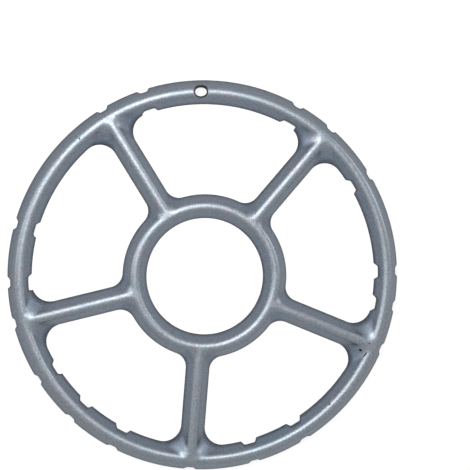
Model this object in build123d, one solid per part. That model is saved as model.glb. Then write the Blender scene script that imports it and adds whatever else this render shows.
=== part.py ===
from build123d import *
import os
from math import cos, radians, sin, tan

# Gas hob reducer ring, pressed from one sheet of steel.
# Rim, hub and spokes share one section: a hollow ridge, open underneath, with leaning
# flanks and a rounded crest. It stands on the lower edges of its flanks.
# Millimetres and degrees. The origin is at the middle of the underside, +Z is up,
# and the hanging hole is on +Y. Angles are counted from +X towards +Y.

# Overall form
ring_diameter = 140.0
bore_diameter = 41.6
ridge_width = 8.7
ridge_height = 5.0
sheet_thickness = 1.2

# Section of the ridge: lean of the flanks from upright, the flat left by the crest's two
# arcs, and the number of steps in which each arc turns
flank_lean = 30.5
crest_flat = 0.15
crest_steps = 4

# Spokes and the corners of the windows between them, at their feet and at the crest
spoke_count = 5
rim_corner_radius = 6.3
hub_corner_radius = 5.2
crest_corner_radius = 3.0

# Hanging hole, pierced through the rim's crest: length along the rim, width at the top face
hole_angle = 90.0
hole_length = 4.5
hole_across = 4.2
hole_wall_lean = 21.5

# Notches that sit over the fingers of the hob's pan support
finger_counts = (4, 5, 6)
odd_finger_angles = (107.0, 162.7, 224.8, 283.5, 349.3)
index_offset = 30.0
notch_height = 1.85
notch_side_lean = 28.0
inner_notch_width = 3.8
outer_notch_width = 2.4

# Reach of a cutter past the face it starts or ends at
overrun = 1.0

# Derived sizes
lean = tan(radians(flank_lean))
outer_radius = ring_diameter / 2
bore_radius = bore_diameter / 2
rim_inner_radius = outer_radius - ridge_width
hub_outer_radius = bore_radius + ridge_width
rim_crest_radius = outer_radius - ridge_width / 2
crest_turn = radians(90 - flank_lean)
crest_offset = (ridge_width - crest_flat) / 2
crest_radius = (crest_offset - ridge_height * lean) / tan(crest_turn / 2)
wall_inset = sheet_thickness / cos(radians(flank_lean))
hollow_height = ridge_height - sheet_thickness
index_angle = hole_angle + index_offset
spoke_pitch = 360 / spoke_count


def turned(shape, angle):
    """The shape turned about the ring's axis, from +X to the angle."""
    return Rot(0, 0, angle) * shape


def crest_corners():
    """Corners of the rounded crest, from the flank up: distance in from the foot, and height."""
    step = crest_turn / crest_steps
    reach = crest_radius / cos(step / 2)
    turns = [crest_turn - (k + 0.5) * step for k in range(crest_steps)]
    centre = ridge_height - crest_radius
    return [(crest_offset - reach * sin(turn), centre + reach * cos(turn)) for turn in turns]


def outer_outline(offset, height):
    """The ring's outer edge, moved in by the offset."""
    return Circle(outer_radius - offset)


def bore_outline(offset, height):
    """The hub's bore, moved out by the offset."""
    return Circle(bore_radius + offset)


def window_outline(offset, height):
    """One window between two spokes, centred on +X, moved out on every side by the offset.

    The corners tighten towards the crest, so that the ridges keep their narrow crests up to
    where they meet, and the sheet falls from there in a hollow.
    """
    between = Circle(rim_inner_radius + offset) - Circle(hub_outer_radius - offset)
    spoke = Rectangle(ring_diameter, ridge_width - 2 * offset, align=(Align.MIN, Align.CENTER))
    for k in range(spoke_count):
        between -= turned(spoke, (k + 0.5) * spoke_pitch)
    outline = Sketch() + between.faces().sort_by(Axis.X)[-1]
    rise = height / ridge_height
    slack = (offset - height * lean) / 2
    rim_radius = rim_corner_radius + (crest_corner_radius - rim_corner_radius) * rise + slack
    hub_radius = hub_corner_radius + (crest_corner_radius - hub_corner_radius) * rise + slack
    outline = fillet(outline.vertices().sort_by(Axis.X)[2:], rim_radius)
    return fillet(outline.vertices().sort_by(Axis.X)[:2], hub_radius)


def stacked(outline, levels):
    """A solid through level outlines, each given by its offset and height."""
    outlines = [Pos(0, 0, height) * outline(offset, height) for offset, height in levels]
    return loft(outlines, ruled=True, clean=False)


def web(foot, corners, above):
    """Rim, hub and spokes as one solid web of ridges, from the levels of their flanks.

    The spaces are cut from below the foot to above the top corners.
    """
    start = (foot - overrun * lean, -overrun)
    ring = stacked(outer_outline, [(foot, 0), *corners])
    ring -= stacked(bore_outline, [start, *corners, above])
    window = stacked(window_outline, [start, *corners, above])
    for k in range(spoke_count):
        ring -= turned(window, index_angle + (k + 0.5) * spoke_pitch)
    return ring


def rounded_web():
    """The ridges with their rounded crests. The last step of each arc runs on past the crest."""
    corners = crest_corners()
    last_offset = corners[-1][0]
    over_crest = ridge_height + (crest_offset - last_offset) * tan(crest_turn / crest_steps)
    return web(0, corners, (crest_offset, over_crest))


def hollow_web():
    """The space under the sheet."""
    top = (wall_inset + hollow_height * lean, hollow_height)
    above = (top[0] + overrun * lean, hollow_height + overrun)
    return web(wall_inset, [top], above)


def notch(width, start_radius, end_radius):
    """Notch cutter along +X, of the given width at its roof, between two distances from the axis."""
    half_top = width / 2
    half_low = half_top + (notch_height + overrun) * tan(radians(notch_side_lean))
    corners = [
        (-half_low, -overrun),
        (half_low, -overrun),
        (half_top, notch_height),
        (-half_top, notch_height),
    ]
    section = make_face(Polyline(*corners, close=True))
    start = Plane((start_radius, 0, 0), x_dir=(0, 1, 0), z_dir=(1, 0, 0))
    return extrude(start * section, end_radius - start_radius)


def notch_angles():
    """Angles of the notches between spokes, and of those that end at a spoke."""
    spokes = [(index_angle + k * spoke_pitch) % 360 for k in range(spoke_count)]
    fingers = list(odd_finger_angles)
    for count in finger_counts:
        fingers += [index_angle + k * 360 / count for k in range(count)]
    fingers = sorted({round(angle % 360, 3) for angle in fingers})
    at_spokes = [a for a in fingers if min(abs(a - s) for s in spokes) < 0.01]
    between = [a for a in fingers if a not in at_spokes]
    return between, at_spokes


def hanging_hole():
    """Hole cutter on +X: an oval that narrows downwards, from above the crest into the hollow."""
    wall_run = tan(radians(hole_wall_lean))
    crest_foot = ridge_height - crest_radius * (1 - sin(radians(flank_lean)))
    low = crest_foot - 2 * sheet_thickness
    high = ridge_height + overrun
    low_half = hole_across / 2 - (crest_foot - low) * wall_run
    high_half = hole_across / 2 + (high - crest_foot) * wall_run
    low_oval = Pos(rim_crest_radius, 0, low) * Ellipse(low_half, hole_length / 2)
    high_oval = Pos(rim_crest_radius, 0, high) * Ellipse(high_half, hole_length / 2)
    return loft([low_oval, high_oval])


def reducer_ring():
    """The whole ring: a web of rounded ridges, hollowed to the sheet and then cut."""
    ring = rounded_web() - hollow_web()
    between, at_spokes = notch_angles()
    inner_notch = notch(inner_notch_width, rim_inner_radius - overrun, rim_crest_radius)
    outer_notch = notch(outer_notch_width, rim_crest_radius, outer_radius + overrun)
    for angle in between:
        ring -= turned(inner_notch, angle)
    for angle in between + at_spokes:
        ring -= turned(outer_notch, angle)
    ring -= turned(hanging_hole(), hole_angle)
    return ring


os.makedirs("parts", exist_ok=True)
export_step(reducer_ring(), "parts/reducer_ring.step")
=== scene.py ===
from math import asin, cos, pi, radians, sin, tan

import bmesh
import bpy
from mathutils import Matrix, Vector
from mathutils.geometry import tessellate_polygon


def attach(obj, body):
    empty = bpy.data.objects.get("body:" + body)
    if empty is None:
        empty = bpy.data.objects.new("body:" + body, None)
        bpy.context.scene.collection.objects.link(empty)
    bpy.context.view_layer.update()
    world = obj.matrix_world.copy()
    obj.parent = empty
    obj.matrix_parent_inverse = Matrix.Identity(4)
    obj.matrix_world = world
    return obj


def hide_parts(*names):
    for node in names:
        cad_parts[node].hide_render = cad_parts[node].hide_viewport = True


# Gas hob reducer ring: the pressed sheet in fine mesh, with its satin steel finish.
# Lengths on the ring are in millimetres, and angles round it are counted from +X towards +Y.

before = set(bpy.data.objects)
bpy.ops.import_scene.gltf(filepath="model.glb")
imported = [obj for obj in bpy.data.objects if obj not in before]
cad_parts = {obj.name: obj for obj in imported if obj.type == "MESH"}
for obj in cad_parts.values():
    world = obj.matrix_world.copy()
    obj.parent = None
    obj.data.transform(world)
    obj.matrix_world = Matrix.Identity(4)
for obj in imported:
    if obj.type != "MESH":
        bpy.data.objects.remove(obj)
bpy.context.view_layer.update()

MM = 0.001

# Overall form, as in the part
RING_RADIUS = 70.0
BORE_RADIUS = 20.8
RIDGE_WIDTH = 8.7
RIDGE_HEIGHT = 5.0
SHEET = 1.2
FLANK_LEAN = radians(30.5)
CREST_FLAT = 0.15
SPOKE_COUNT = 5
RIM_CORNER_RADIUS = 6.3
HUB_CORNER_RADIUS = 5.2
HOLE_ANGLE = 90.0
HOLE_LENGTH = 4.5
HOLE_ACROSS = 4.2
HOLE_WALL_LEAN = radians(21.5)
FINGER_COUNTS = (4, 5, 6)
ODD_FINGER_ANGLES = (107.0, 162.7, 224.8, 283.5, 349.3)
INDEX_ANGLE = HOLE_ANGLE + 30.0
NOTCH_HEIGHT = 1.85
NOTCH_SIDE_LEAN = radians(28.0)
INNER_NOTCH_WIDTH = 3.8
OUTER_NOTCH_WIDTH = 2.4

# Finer than in the part: window corners at the crest and the power of the height by which they
# tighten up to it, rounded notch corners and sheet edges, and the lean of the hanging hole's ends
CREST_CORNER_RADIUS = 2.0
CORNER_TIGHTENING = 2.0
NOTCH_CORNER_RADIUS = 0.7
EDGE_RADIUS = 0.1
HOLE_END_LEAN = radians(20.0)

# Worked out from them
LEAN = tan(FLANK_LEAN)
HALF_WIDTH = RIDGE_WIDTH / 2
HALF_PITCH = pi / SPOKE_COUNT
RIM_INNER_RADIUS = RING_RADIUS - RIDGE_WIDTH
RIM_CREST_RADIUS = RING_RADIUS - HALF_WIDTH
HUB_RADIUS = BORE_RADIUS + RIDGE_WIDTH
WALL_INSET = SHEET / cos(FLANK_LEAN)
CREST_TURN = pi / 2 - FLANK_LEAN
CREST_OFFSET = (RIDGE_WIDTH - CREST_FLAT) / 2
CREST_RADIUS = (CREST_OFFSET - RIDGE_HEIGHT * LEAN) / tan(CREST_TURN / 2)
CREST_CENTRE_Z = RIDGE_HEIGHT - CREST_RADIUS

# Fineness of the mesh: steps along the edges, the weight of a corner's turn in millimetres of
# straight edge, rows of faces across each stretch of the section, and sides of the hole's oval
STEP = 0.9
CORNER_STEP = 0.32
TURN_WEIGHT = 3.0
CREST_ROWS = 10
FLANK_ROWS = 4
EDGE_ROWS = 3
INNER_FLANK_ROWS = 3
INNER_CREST_ROWS = 4
NOTCH_ROOF_SHARES = (0.0, 0.6)
NOTCH_ARC_ROWS = 4
NOTCH_SIDE_ROWS = 3
NOTCH_MARGIN = 0.4 * STEP
HOLE_SIDES = 64

# Reach of the hole's cutter past the crest, the least turn in degrees that stays an edge, and
# how near two angles are, in degrees, when they count as one
CUTTER_OVERRUN = 1.0
SHARP_ANGLE = 34.0
SAME_ANGLE = 0.01

# Tones of the steel: on the flanks, the crests, in the painted shade along the lower edges, in the
# marks and the painted shade round the hanging hole, and the darkest and palest on the hole's wall,
# near-black as painted shade
FLANK_TONE = (0.158, 0.186, 0.227, 1)
CREST_TONE = (0.194, 0.212, 0.235, 1)
EDGE_SHADE_TONE = (0.030, 0.033, 0.044, 1)
MARK_AND_SHADE_TONE = (0.012, 0.014, 0.018, 1)
WALL_SHADE_TONES = ((0.010, 0.012, 0.014, 1), (0.045, 0.048, 0.055, 1))

# Heights between which the tone of the flanks passes into that of the crests, in metres
CREST_TONE_HEIGHTS = (0.0030, 0.0047)

# Width of the band of painted shade along the lower edges, where the ring meets the floor, and the
# share of that painted shade on the rim's outer flank
PAINTED_SHADE_MARGIN = 2.0
OUTER_FLANK_PAINTED_SHADE = 0.14

# Unevenness of the skin: the scale of its noise in cells per metre, its detail and its roughness,
# for the drift of hue, the speckle, the patches in the painted edge shade, the rubbing and the
# burrs
DRIFT_NOISE = (170.0, 2.0, 0.5)
SPECKLE_NOISE = (1900.0, 3.0, 0.65)
SHADE_PATCH_NOISE = (500.0, 2.0, 0.5)
RUB_NOISE = (700.0, 4.0, 0.6)
BURR_NOISE = (1400.0, 3.0, 0.6)

# Stretch of the noise that is used, wide and narrow, and what each unevenness gives at its ends
NOISE_RANGE = (0.3, 0.7)
NARROW_NOISE_RANGE = (0.35, 0.65)
DRIFT_TINTS = ((0.93, 1.0, 1.02, 1), (1.02, 0.99, 1.01, 1))
SPECKLE_SHADES = (0.72, 1.28)
SHADE_PATCH_SHARES = (0.70, 1.0)
RUB_ROUGHNESS = (0.36, 0.46)
WALL_ROUGHNESS = 0.6

# Relief of the grain and of the marks: strength, and depth in metres
GRAIN_RELIEF = (0.25, 0.00006)
MARK_RELIEF = (0.8, 0.0003)

# Pits, a scratch, a nick, and painted shade round the hanging hole: middle, turn of the length
# from +X, half length and half width. All reach as far up and down, and fade out from the same
# share of their reach.
MARK_AND_SHADE_HALF_HEIGHT = 2.5
MARK_AND_SHADE_FADE_START = 0.72
MARKS_AND_HOLE_SHADE = (
    (55.27, -28.2, 3.6, 0.0, 0.60, 0.45),
    (56.77, -29.8, 4.2, 51.0, 1.3, 0.24),
    (58.3, -25.65, 4.6, 0.0, 0.26, 0.22),
    (43.52, -47.2, 3.0, 0.0, 0.45, 0.35),
    (21.62, -62.2, 3.0, 0.0, 0.40, 0.35),
    (-42.98, 50.1, 4.9, 130.0, 0.45, 0.20),
    (-11.98, -38.7, 4.5, 0.0, 0.45, 0.30),
    # Painted shade round the hanging hole, not a mark in the steel
    (0.0, 65.88, 4.6, 0.0, 2.85, 2.85),
)

# Name under which each point of the mesh keeps its share of the painted shade along the edges
PAINTED_SHADE_LAYER = "edge_painted_shade"

# Place of the hole's wall in the list of finishes
CUT_EDGE_INDEX = 1

# Floor: width and drop below the ring in metres, tone as lit, brightness as seen, and the share
# of that brightness in reflections
FLOOR_SIZE = 3.0
FLOOR_DROP = 0.00002
FLOOR_TONE = (0.22, 0.22, 0.22, 1)
FLOOR_ROUGHNESS = 0.9
FLOOR_BRIGHTNESS = 0.80
FLOOR_REFLECTED = 0.85

# White surround: its strength as light and as seen
WHITE = (1, 1, 1, 1)
SURROUND_STRENGTHS = (0.35, 1.0)

# Lamps: name, place, length and width in metres, turn of the length on the floor, power in watts
LAMPS = (
    ("key_lamp", (-0.042, 0.092, 0.228), 0.172, 0.148, 156.0, 0.57),
    ("right_lamp", (0.662, 0.229, 0.490), 0.3, 0.1, 109.0, 1.2),
    ("left_lamp", (-0.678, 0.174, 0.537), 0.3, 0.1, 75.6, 1.1),
)


def unit(angle):
    """Direction in the ring's plane at an angle in radians."""
    return Vector((cos(angle), sin(angle)))


def spaced(start, end, step):
    """Values from start to before end, at most a step apart."""
    count = max(1, round(abs(end - start) / step))
    return [start + (end - start) * k / count for k in range(count)]


def notch_half(width):
    """Half of a notch's edge, from its middle to its mouth: distance along the rim, height."""
    turn = pi / 2 - NOTCH_SIDE_LEAN
    half_top = width / 2
    arc_start = half_top - NOTCH_CORNER_RADIUS * tan(turn / 2)
    points = [(arc_start * share, NOTCH_HEIGHT) for share in NOTCH_ROOF_SHARES]
    for k in range(NOTCH_ARC_ROWS + 1):
        bend = turn * k / NOTCH_ARC_ROWS
        points.append((
            arc_start + NOTCH_CORNER_RADIUS * sin(bend),
            NOTCH_HEIGHT - NOTCH_CORNER_RADIUS * (1 - cos(bend)),
        ))
    side_x, side_z = points[-1]
    for k in range(1, NOTCH_SIDE_ROWS + 1):
        drop = side_z * k / NOTCH_SIDE_ROWS
        points.append((side_x + drop * tan(NOTCH_SIDE_LEAN), side_z - drop))
    return points


def finger_angles():
    """Angles of the notches between spokes, and of those that end at a spoke."""
    spokes = [(INDEX_ANGLE + k * 360 / SPOKE_COUNT) % 360 for k in range(SPOKE_COUNT)]
    fingers = list(ODD_FINGER_ANGLES)
    for count in FINGER_COUNTS:
        fingers += [INDEX_ANGLE + k * 360 / count for k in range(count)]
    fingers = sorted({round(angle % 360, 3) for angle in fingers})
    at_spokes = [a for a in fingers if min(abs(a - s) for s in spokes) < SAME_ANGLE]
    between = [a for a in fingers if a not in at_spokes]
    return between, at_spokes


def edge_stations(total, fine_stretches, notches):
    """Stations along an edge: distance and height of the edge there. Notches lift it."""
    stations = []
    for centre, half in notches:
        stations += [(centre + x, z) for x, z in half]
        stations += [(centre - x, z) for x, z in half[1:]]
    for start, end, step in fine_stretches:
        for distance in spaced(start, end, step):
            clear = True
            for centre, half in notches:
                apart = abs((distance - centre + total / 2) % total - total / 2)
                clear = clear and apart > half[-1][0] + NOTCH_MARGIN
            if clear:
                stations.append((distance, 0.0))
    return sorted(stations)


def circle_stations(radius, away, width, fingers):
    """Stations round a full circle about the ring's axis.

    away is 1 where the ridge lies outside the circle, and -1 where it lies inside.
    """
    length = 2 * pi * radius
    notches = [(radians(finger) * radius, notch_half(width)) for finger in fingers]

    def place(distance, offset, z):
        return unit(distance / radius) * (radius + away * offset)

    return [(place, s, z) for s, z in edge_stations(length, [(0.0, length, STEP)], notches)]


def along(steps, share):
    """The point at a share of the way along several steps.

    Each step is its weight and the function that gives its points, from 0 to 1.
    """
    way = share * sum(weight for weight, _ in steps)
    for weight, step in steps[:-1]:
        if way <= weight:
            return step(way / weight if weight > 0 else 0.0)
        way -= weight
    weight, step = steps[-1]
    return step(min(way / weight, 1.0) if weight > 0 else 0.0)


def corner_tangents(circle, radius, side, out):
    """Polar angle and distance along the spoke where a corner leaves the circle and the spoke.

    out is -1 for a corner inside the rim's circle and 1 for one outside the hub's.
    """
    centre = circle + out * radius
    across = side + radius
    return HALF_PITCH - asin(across / centre), (centre ** 2 - across ** 2) ** 0.5


RIM_ARC, RIM_REACH = corner_tangents(RIM_INNER_RADIUS, RIM_CORNER_RADIUS, HALF_WIDTH, -1)
HUB_ARC, HUB_REACH = corner_tangents(HUB_RADIUS, HUB_CORNER_RADIUS, HALF_WIDTH, 1)
RIM_TURN = HALF_PITCH + pi / 2 - RIM_ARC
HUB_TURN = pi / 2 - HALF_PITCH + HUB_ARC
SPOKE_WAY = unit(HALF_PITCH)
SPOKE_SIDE = unit(HALF_PITCH - pi / 2)

# Lengths of the stretches of half a window's foot, from the middle of its rim edge
HALF_WINDOW = (
    RIM_ARC * RIM_INNER_RADIUS,
    RIM_TURN * RIM_CORNER_RADIUS,
    RIM_REACH - HUB_REACH,
    HUB_TURN * HUB_CORNER_RADIUS,
    HUB_ARC * HUB_RADIUS,
)


def corner_point(circle, foot_radius, arc, reach, out, offset, z, share):
    """Point of a corner's level outline, from the circle to the spoke.

    The corner tightens towards the crest, and the circle and the spoke's side run on to meet it.
    """
    tightened = (z / RIDGE_HEIGHT) ** CORNER_TIGHTENING
    radius = foot_radius + (CREST_CORNER_RADIUS - foot_radius) * tightened
    radius += (offset - z * LEAN) / 2
    side = HALF_WIDTH - offset
    level_circle = circle - out * offset
    level_arc, level_reach = corner_tangents(level_circle, radius, side, out)
    centre = unit(level_arc) * (level_circle + out * radius)
    if out < 0:
        start = level_arc
        turn = HALF_PITCH + pi / 2 - level_arc
    else:
        start = level_arc + pi
        turn = HALF_PITCH - pi / 2 - level_arc
    steps = [
        (
            abs(level_arc - arc) * level_circle,
            lambda t: unit(arc + (level_arc - arc) * t) * level_circle,
        ),
        (
            abs(turn) * (radius + TURN_WEIGHT),
            lambda t: centre + unit(start + turn * t) * radius,
        ),
        (
            abs(level_reach - reach),
            lambda t: SPOKE_WAY * (level_reach + (reach - level_reach) * t) + SPOKE_SIDE * side,
        ),
    ]
    return along(steps, share)


def window_point(distance, offset, z):
    """Point of a window's level outline, at a distance from the middle of its rim edge.

    The window is centred on +X.
    """
    way = abs(distance)
    stretch = 0
    while stretch < len(HALF_WINDOW) - 1 and way > HALF_WINDOW[stretch]:
        way -= HALF_WINDOW[stretch]
        stretch += 1
    share = way / HALF_WINDOW[stretch]
    if stretch == 0:
        point = unit(RIM_ARC * share) * (RIM_INNER_RADIUS + offset)
    elif stretch == 1:
        point = corner_point(
            RIM_INNER_RADIUS, RIM_CORNER_RADIUS, RIM_ARC, RIM_REACH, -1, offset, z, share
        )
    elif stretch == 2:
        along_spoke = RIM_REACH + (HUB_REACH - RIM_REACH) * share
        point = SPOKE_WAY * along_spoke + SPOKE_SIDE * (HALF_WIDTH - offset)
    elif stretch == 3:
        point = corner_point(
            HUB_RADIUS, HUB_CORNER_RADIUS, HUB_ARC, HUB_REACH, 1, offset, z, 1 - share
        )
    else:
        point = unit(HUB_ARC * (1 - share)) * (HUB_RADIUS - offset)
    return point if distance >= 0 else Vector((point.x, -point.y))


def window_stations(middle, fingers):
    """Stations round the window whose middle lies at an angle in radians."""
    half_length = sum(HALF_WINDOW)
    stretches = []
    start = 0.0
    for length, step in zip(HALF_WINDOW, (STEP, CORNER_STEP, STEP, CORNER_STEP, STEP)):
        stretches.append((start, start + length, step))
        stretches.append((-start - length, -start, step))
        start += length
    half = notch_half(INNER_NOTCH_WIDTH)
    notches = []
    for finger in fingers:
        from_middle = (radians(finger) - middle + pi) % (2 * pi) - pi
        if abs(from_middle) < HALF_PITCH:
            notches.append((from_middle * RIM_INNER_RADIUS, half))
    turn = Matrix.Rotation(middle, 2)

    def place(distance, offset, z):
        return turn @ window_point(distance, offset, z)

    return [(place, s, z) for s, z in edge_stations(2 * half_length, stretches, notches)]


def section(edge_height, flank_painted_shade):
    """Half of the ridge's section down to an edge at a height: crest, flank, foot, inside.

    Each point is its offset from the outline at the foot, its height, and its share of the painted
    shade along the edge. The last argument gives that share on the flank.
    """
    points = []
    for k in range(CREST_ROWS + 1):
        bend = CREST_TURN * k / CREST_ROWS
        points.append((
            CREST_OFFSET - CREST_RADIUS * sin(bend),
            CREST_CENTRE_Z + CREST_RADIUS * cos(bend),
            0.0,
        ))
    top_x, top_z, _ = points[-1]
    reach = EDGE_RADIUS / tan(CREST_TURN / 2)
    low_x = edge_height * LEAN + reach * sin(FLANK_LEAN)
    low_z = edge_height + reach * cos(FLANK_LEAN)
    painted_shade_share = PAINTED_SHADE_MARGIN * cos(FLANK_LEAN) / (top_z - low_z)
    for k in range(1, FLANK_ROWS + 1):
        share = (1 - painted_shade_share) * k / FLANK_ROWS
        points.append((
            top_x + (low_x - top_x) * share,
            top_z + (low_z - top_z) * share,
            flank_painted_shade,
        ))
    # Painted shade: full on the band next to the lower edge and the edge's rounding, fading up the
    # inside of the hollow
    points.append((low_x, low_z, 1.0))
    round_x = edge_height * LEAN + reach
    round_z = edge_height + EDGE_RADIUS
    for k in range(1, EDGE_ROWS + 1):
        bend = CREST_TURN + (pi - CREST_TURN) * k / EDGE_ROWS
        points.append((round_x - EDGE_RADIUS * sin(bend), round_z + EDGE_RADIUS * cos(bend), 1.0))
    inner_radius = CREST_RADIUS - SHEET
    foot_x = edge_height * LEAN + WALL_INSET
    roof_x = CREST_OFFSET - inner_radius * sin(CREST_TURN)
    roof_z = CREST_CENTRE_Z + inner_radius * cos(CREST_TURN)
    for k in range(INNER_FLANK_ROWS):
        share = k / INNER_FLANK_ROWS
        points.append((
            foot_x + (roof_x - foot_x) * share,
            edge_height + (roof_z - edge_height) * share,
            1.0 - share,
        ))
    for k in range(INNER_CREST_ROWS + 1):
        bend = CREST_TURN * (1 - k / INNER_CREST_ROWS)
        points.append((
            CREST_OFFSET - inner_radius * sin(bend),
            CREST_CENTRE_Z + inner_radius * cos(bend),
            0.0,
        ))
    return points


def add_wall(mesh, stations, flip, flank_painted_shade=0.0):
    """Skins the ridge along one edge, and returns its rings of points at the crest and the roof."""
    shade_layer = mesh.verts.layers.float[PAINTED_SHADE_LAYER]
    columns = []
    for place, distance, height in stations:
        column = []
        for offset, z, painted_shade_share in section(height, flank_painted_shade):
            point = place(distance, offset, z)
            vert = mesh.verts.new((point.x * MM, point.y * MM, z * MM))
            vert[shade_layer] = painted_shade_share
            column.append(vert)
        columns.append(column)
    for k, column in enumerate(columns):
        following = columns[(k + 1) % len(columns)]
        for row in range(len(column) - 1):
            corners = [column[row], column[row + 1], following[row + 1], following[row]]
            mesh.faces.new(reversed(corners) if flip else corners)
    return [column[0] for column in columns], [column[-1] for column in columns]


def add_web(mesh, rings, upward):
    """Fills the flat at one height between the outer ring of points and those inside it."""
    points = [vert for ring in rings for vert in ring]
    for triangle in tessellate_polygon([[vert.co for vert in ring] for ring in rings]):
        corners = [points[k] for k in triangle]
        normal = (corners[1].co - corners[0].co).cross(corners[2].co - corners[0].co)
        mesh.faces.new(corners if (normal.z > 0) == upward else reversed(corners))


def build_ring():
    """The whole ring as one closed mesh, before the hanging hole is cut."""
    mesh = bmesh.new()
    mesh.verts.layers.float.new(PAINTED_SHADE_LAYER)
    between, at_spokes = finger_angles()
    outer = circle_stations(RING_RADIUS, -1, OUTER_NOTCH_WIDTH, between + at_spokes)
    bore = circle_stations(BORE_RADIUS, 1, OUTER_NOTCH_WIDTH, [])
    # The rim's outer flank carries a share of painted shade all over
    loops = [add_wall(mesh, outer, False, OUTER_FLANK_PAINTED_SHADE), add_wall(mesh, bore, True)]
    for k in range(SPOKE_COUNT):
        middle = radians(INDEX_ANGLE) + (2 * k + 1) * HALF_PITCH
        loops.append(add_wall(mesh, window_stations(middle, between), True))
    add_web(mesh, [top for top, _ in loops], True)
    add_web(mesh, [roof for _, roof in loops], False)
    bmesh.ops.recalc_face_normals(mesh, faces=mesh.faces)
    data = bpy.data.meshes.new("pressed_ring")
    mesh.to_mesh(data)
    mesh.free()
    ring = bpy.data.objects.new("pressed_ring", data)
    bpy.context.scene.collection.objects.link(ring)
    return ring


def cut_hanging_hole(ring):
    """Cuts the oval hole through the rim's crest. It narrows downwards.

    The cutter starts two sheets below the foot of the crest, inside the hollow. Its wall is made
    of triangles, because flat faces leave a clean cut.
    """
    crest_foot = RIDGE_HEIGHT - CREST_RADIUS * (1 - sin(FLANK_LEAN))
    sheet_middle = RIDGE_HEIGHT - SHEET / 2
    cutter = bmesh.new()
    rings = []
    for z in (crest_foot - 2 * SHEET, RIDGE_HEIGHT + CUTTER_OVERRUN):
        half = HOLE_ACROSS / 2 + (z - crest_foot) * tan(HOLE_WALL_LEAN)
        half_length = HOLE_LENGTH / 2 + (z - sheet_middle) * tan(HOLE_END_LEAN)
        ring_verts = []
        for k in range(HOLE_SIDES):
            way = unit(2 * pi * k / HOLE_SIDES)
            place = Vector((RIM_CREST_RADIUS + half * way.x, half_length * way.y, z))
            place.rotate(Matrix.Rotation(radians(HOLE_ANGLE), 3, "Z"))
            ring_verts.append(cutter.verts.new(place * MM))
        rings.append(ring_verts)
    lower, upper = rings
    cutter.faces.new(reversed(lower))
    cutter.faces.new(upper)
    for k in range(HOLE_SIDES):
        j = (k + 1) % HOLE_SIDES
        cutter.faces.new([lower[k], lower[j], upper[j]])
        cutter.faces.new([lower[k], upper[j], upper[k]])
    for face in cutter.faces:
        face.material_index = CUT_EDGE_INDEX
    data = bpy.data.meshes.new("hole_cutter")
    cutter.to_mesh(data)
    cutter.free()
    tool = bpy.data.objects.new("hole_cutter", data)
    bpy.context.scene.collection.objects.link(tool)
    cut = ring.modifiers.new("hole", "BOOLEAN")
    cut.operation = "DIFFERENCE"
    cut.solver = "EXACT"
    cut.object = tool
    bpy.context.view_layer.update()
    evaluated = ring.evaluated_get(bpy.context.evaluated_depsgraph_get())
    shaped = bpy.data.meshes.new_from_object(evaluated)
    ring.modifiers.clear()
    ring.data = shaped
    bpy.data.objects.remove(tool)


def smooth_with_sharp_edges(piece, limit):
    """Smooth shading, with edges that turn by more than the limit in degrees kept as edges."""
    for face in piece.data.polygons:
        face.use_smooth = True
    piece.data.set_sharp_from_angle(angle=radians(limit))


def noise(nodes, links, place, kind):
    """Noise of one kind: its scale in cells per metre, its detail and its roughness."""
    node = nodes.new("ShaderNodeTexNoise")
    for name, value in zip(("Scale", "Detail", "Roughness"), kind):
        node.inputs[name].default_value = value
    links.new(place, node.inputs["Vector"])
    return node.outputs["Fac"]


def ranged(nodes, links, value, ends, results):
    """The value, mapped from two ends to two results and held there past the ends."""
    node = nodes.new("ShaderNodeMapRange")
    node.inputs["From Min"].default_value = ends[0]
    node.inputs["From Max"].default_value = ends[1]
    node.inputs["To Min"].default_value = results[0]
    node.inputs["To Max"].default_value = results[1]
    links.new(value, node.inputs["Value"])
    return node.outputs["Result"]


def mixed(nodes, links, way, share, first, second):
    """Two colours mixed. Each colour and the share is a value or an output."""
    node = nodes.new("ShaderNodeMixRGB")
    node.blend_type = way
    for name, source in (("Fac", share), ("Color1", first), ("Color2", second)):
        if isinstance(source, (float, tuple)):
            node.inputs[name].default_value = source
        else:
            links.new(source, node.inputs[name])
    return node.outputs["Color"]


def product(nodes, links, first, second):
    """Two values multiplied. The first is an output, the second a number or an output."""
    node = nodes.new("ShaderNodeMath")
    node.operation = "MULTIPLY"
    links.new(first, node.inputs[0])
    if isinstance(second, float):
        node.inputs[1].default_value = second
    else:
        links.new(second, node.inputs[1])
    return node.outputs[0]


def greater(nodes, links, first, second):
    """The greater of two values."""
    node = nodes.new("ShaderNodeMath")
    node.operation = "MAXIMUM"
    links.new(first, node.inputs[0])
    links.new(second, node.inputs[1])
    return node.outputs[0]


def relief(nodes, links, height, strength_and_depth, normal=None):
    """A normal tilted by the slopes of a height, on top of another relief if one is given."""
    node = nodes.new("ShaderNodeBump")
    node.inputs["Strength"].default_value = strength_and_depth[0]
    node.inputs["Distance"].default_value = strength_and_depth[1]
    links.new(height, node.inputs["Height"])
    if normal is not None:
        links.new(normal, node.inputs["Normal"])
    return node


def marks_and_hole_shade(nodes, links, place):
    """1 inside the ring's marks and inside the painted shade round the hanging hole, 0 outside
    them.
    """
    found = None
    for x, y, z, turn, half_length, half_width in MARKS_AND_HOLE_SHADE:
        half_size = (half_length * MM, half_width * MM, MARK_AND_SHADE_HALF_HEIGHT * MM)
        around = nodes.new("ShaderNodeMapping")
        around.vector_type = "TEXTURE"
        around.inputs["Location"].default_value = (x * MM, y * MM, z * MM)
        around.inputs["Rotation"].default_value = (0, 0, radians(turn))
        around.inputs["Scale"].default_value = half_size
        links.new(place, around.inputs["Vector"])
        reach = nodes.new("ShaderNodeVectorMath")
        reach.operation = "LENGTH"
        links.new(around.outputs["Vector"], reach.inputs[0])
        inside = ranged(nodes, links, reach.outputs["Value"], (MARK_AND_SHADE_FADE_START, 1.0), (1.0, 0.0))
        found = inside if found is None else greater(nodes, links, found, inside)
    return found


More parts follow.
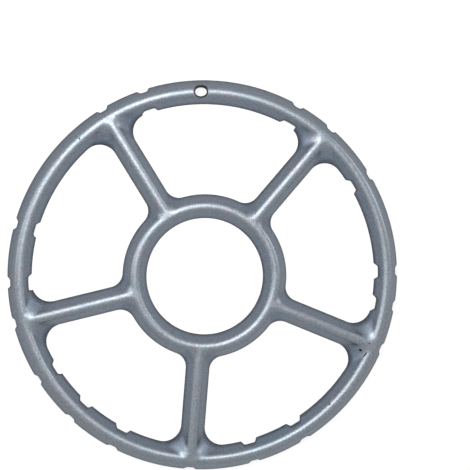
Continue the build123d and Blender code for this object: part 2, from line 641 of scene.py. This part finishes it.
def steel_finish():
    """Satin steel: a grey-blue mottled skin, paler on the crests, with painted shade at the lower
    edges and round the hole.
    """
    material = bpy.data.materials.new("satin_steel")
    material.use_nodes = True
    nodes = material.node_tree.nodes
    links = material.node_tree.links
    shader = nodes["Principled BSDF"]
    shader.inputs["Metallic"].default_value = 1.0
    place = nodes.new("ShaderNodeTexCoord").outputs["Object"]

    axes = nodes.new("ShaderNodeSeparateXYZ")
    links.new(place, axes.inputs[0])
    crest = ranged(nodes, links, axes.outputs["Z"], CREST_TONE_HEIGHTS, (0.0, 1.0))
    colour = mixed(nodes, links, "MIX", crest, FLANK_TONE, CREST_TONE)

    cloud = noise(nodes, links, place, DRIFT_NOISE)
    drift = ranged(nodes, links, cloud, NARROW_NOISE_RANGE, (0.0, 1.0))
    tint = mixed(nodes, links, "MIX", drift, *DRIFT_TINTS)
    colour = mixed(nodes, links, "MULTIPLY", 1.0, colour, tint)

    speckle = noise(nodes, links, place, SPECKLE_NOISE)
    shade = ranged(nodes, links, speckle, NOISE_RANGE, SPECKLE_SHADES)
    colour = mixed(nodes, links, "MULTIPLY", 1.0, colour, shade)

    # Painted shade along the lower edges and inside the hollow, made patchy by noise
    edge = nodes.new("ShaderNodeAttribute")
    edge.attribute_name = PAINTED_SHADE_LAYER
    shade_patches = noise(nodes, links, place, SHADE_PATCH_NOISE)
    shade_patch_share = ranged(nodes, links, shade_patches, NOISE_RANGE, SHADE_PATCH_SHARES)
    painted_shade_share = product(nodes, links, edge.outputs["Fac"], shade_patch_share)
    colour = mixed(nodes, links, "MIX", painted_shade_share, colour, EDGE_SHADE_TONE)

    # Marks in the steel, and painted shade round the hanging hole
    marked_or_shaded = marks_and_hole_shade(nodes, links, place)
    colour = mixed(nodes, links, "MIX", marked_or_shaded, colour, MARK_AND_SHADE_TONE)
    links.new(colour, shader.inputs["Base Color"])

    rub = noise(nodes, links, place, RUB_NOISE)
    links.new(ranged(nodes, links, rub, NOISE_RANGE, RUB_ROUGHNESS), shader.inputs["Roughness"])

    grain = relief(nodes, links, speckle, GRAIN_RELIEF)
    sunk = relief(nodes, links, marked_or_shaded, MARK_RELIEF, grain.outputs["Normal"])
    sunk.invert = True
    links.new(sunk.outputs["Normal"], shader.inputs["Normal"])
    return material


def cut_edge_finish():
    """The hole's wall: rough sheared steel, near-black as painted shade inside the hole."""
    material = bpy.data.materials.new("cut_edge")
    material.use_nodes = True
    nodes = material.node_tree.nodes
    links = material.node_tree.links
    shader = nodes["Principled BSDF"]
    shader.inputs["Metallic"].default_value = 1.0
    shader.inputs["Roughness"].default_value = WALL_ROUGHNESS
    place = nodes.new("ShaderNodeTexCoord").outputs["Object"]
    burr = noise(nodes, links, place, BURR_NOISE)
    share = ranged(nodes, links, burr, NOISE_RANGE, (0.0, 1.0))
    links.new(mixed(nodes, links, "MIX", share, *WALL_SHADE_TONES), shader.inputs["Base Color"])
    return material


def seen_share(nodes, links, reflected):
    """How far a ray sees the white surround: 1 from the camera and through things, 0 as light.

    Reflections see the given share of it.
    """
    path = nodes.new("ShaderNodeLightPath")
    share = product(nodes, links, path.outputs["Is Glossy Ray"], reflected)
    for ray in ("Is Camera Ray", "Is Transmission Ray"):
        share = greater(nodes, links, share, path.outputs[ray])
    return share


def plain_floor():
    """A pale floor that shows white to the camera and in reflections, and keeps the shadow."""
    bpy.ops.mesh.primitive_plane_add(size=FLOOR_SIZE, location=(0, 0, -FLOOR_DROP))
    floor = bpy.context.object
    floor.name = "floor"
    material = bpy.data.materials.new("pale_floor")
    material.use_nodes = True
    nodes = material.node_tree.nodes
    links = material.node_tree.links
    shader = nodes["Principled BSDF"]
    shader.inputs["Base Color"].default_value = FLOOR_TONE
    shader.inputs["Roughness"].default_value = FLOOR_ROUGHNESS
    shader.inputs["Emission Color"].default_value = WHITE
    seen = product(nodes, links, seen_share(nodes, links, FLOOR_REFLECTED), FLOOR_BRIGHTNESS)
    links.new(seen, shader.inputs["Emission Strength"])
    floor.data.materials.append(material)


def placed(right, up, back, place):
    """Matrix of an object at a place, whose own axes point right, up and back."""
    return Matrix.Translation(place) @ Matrix((right, up, back)).transposed().to_4x4()


def area_lamp(name, place, length, width, turn, power):
    """A rectangular lamp aimed at the ring.

    Its length lies along the turn, an angle in degrees on the floor.
    """
    lamp = bpy.data.lights.new(name, "AREA")
    lamp.shape = "RECTANGLE"
    lamp.size = length
    lamp.size_y = width
    lamp.energy = power
    holder = bpy.data.objects.new(name, lamp)
    back = Vector(place).normalized()
    level = unit(radians(turn)).to_3d()
    along_lamp = (level - back * level.dot(back)).normalized()
    up = back.cross(along_lamp)
    holder.matrix_world = placed(along_lamp, up, back, place)
    holder.visible_camera = False
    bpy.context.scene.collection.objects.link(holder)


def studio_light():
    """A soft lamp close above the ring, one at each side, and an even white surround."""
    for lamp in LAMPS:
        area_lamp(*lamp)
    world = bpy.data.worlds.new("surround")
    bpy.context.scene.world = world
    world.use_nodes = True
    nodes = world.node_tree.nodes
    links = world.node_tree.links
    strength = ranged(nodes, links, seen_share(nodes, links, 1.0), (0.0, 1.0), SURROUND_STRENGTHS)
    links.new(strength, nodes["Background"].inputs["Strength"])
    nodes["Background"].inputs["Color"].default_value = WHITE


def photo_camera():
    """The camera that took the photograph, from the ring's outline in it."""
    photo_size = 470
    centre_px = (204.9, 276.3)
    px_per_mm = 2.7905
    distance = 456.0
    tilt = radians(6.06)
    toward = radians(148.5)
    roll = radians(150.0)
    data = bpy.data.cameras.new("camera")
    data.sensor_width = 36.0
    data.lens = px_per_mm * distance / photo_size * data.sensor_width
    data.clip_start = 0.01
    holder = bpy.data.objects.new("camera", data)
    bpy.context.scene.collection.objects.link(holder)
    away = Vector((cos(toward) * sin(tilt), sin(toward) * sin(tilt), cos(tilt)))
    slope = Vector((cos(toward) * cos(tilt), sin(toward) * cos(tilt), -sin(tilt)))
    level = Vector((-sin(toward), cos(toward), 0))
    right = slope * cos(roll) - level * sin(roll)
    up = slope * sin(roll) + level * cos(roll)
    shift_x = (photo_size / 2 - centre_px[0]) / px_per_mm
    shift_y = (centre_px[1] - photo_size / 2) / px_per_mm
    place = (right * shift_x + up * shift_y + away * distance) * MM
    holder.matrix_world = placed(right, up, away, place)
    bpy.context.scene.camera = holder


ring = build_ring()
ring.data.materials.append(steel_finish())
ring.data.materials.append(cut_edge_finish())
cut_hanging_hole(ring)
smooth_with_sharp_edges(ring, SHARP_ANGLE)
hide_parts("reducer_ring")
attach(ring, "root")

plain_floor()
studio_light()
photo_camera()
bpy.context.scene.view_settings.view_transform = "Standard"
